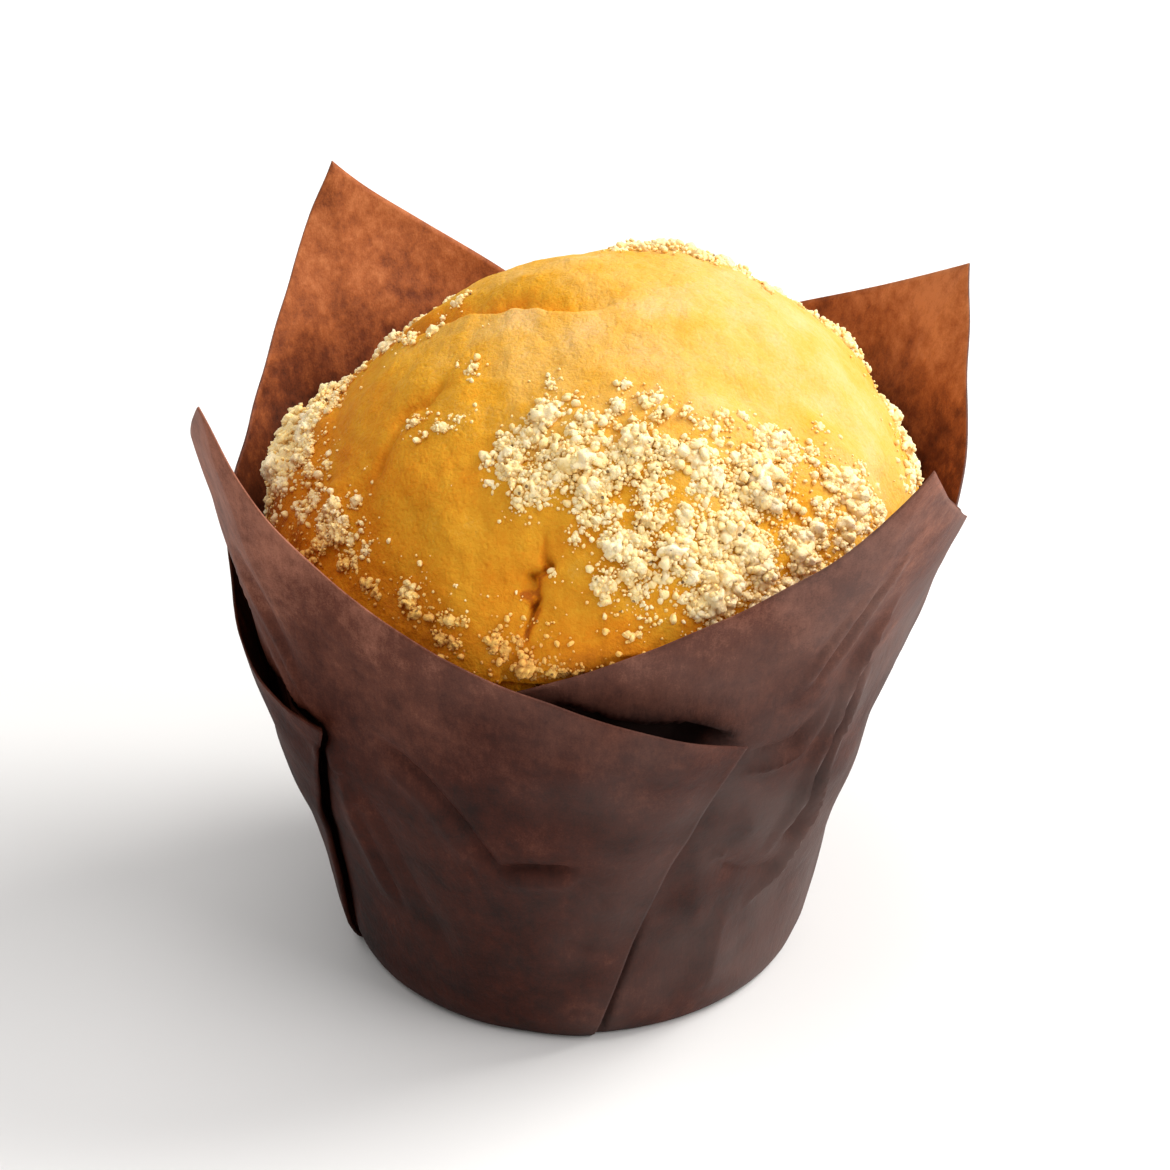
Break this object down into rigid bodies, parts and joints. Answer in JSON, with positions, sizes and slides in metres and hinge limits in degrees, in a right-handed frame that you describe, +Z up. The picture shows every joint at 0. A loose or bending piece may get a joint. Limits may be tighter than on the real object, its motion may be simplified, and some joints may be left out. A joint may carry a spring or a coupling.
{
  "type": "muffin",
  "caption": "Domed crumble-topped muffin baked in a tulip wrap: a square sheet of baking paper folded round it, its corners standing up as petals.",
  "frame": {"origin": "centre of the flat foot that the wrapped muffin stands on", "axes": "+Z up from the foot to the dome; the camera of the picture looks along +Y, with +X to its right"},
  "size_m": [0.0839, 0.0767, 0.0801],
  "materials": {
    "cake": "soft golden yellow crust, browner in the folds, matt with a faint moist sheen",
    "crumble": "pale cream, dry and sandy, with fine dark specks",
    "paper": "dark brown baking paper, silky outside, orange-brown and mottled where light comes through"
  },
  "bodies": {
    "root": {"muffin": "cake", "paper_case": "paper"}
  },
  "joints": []
}
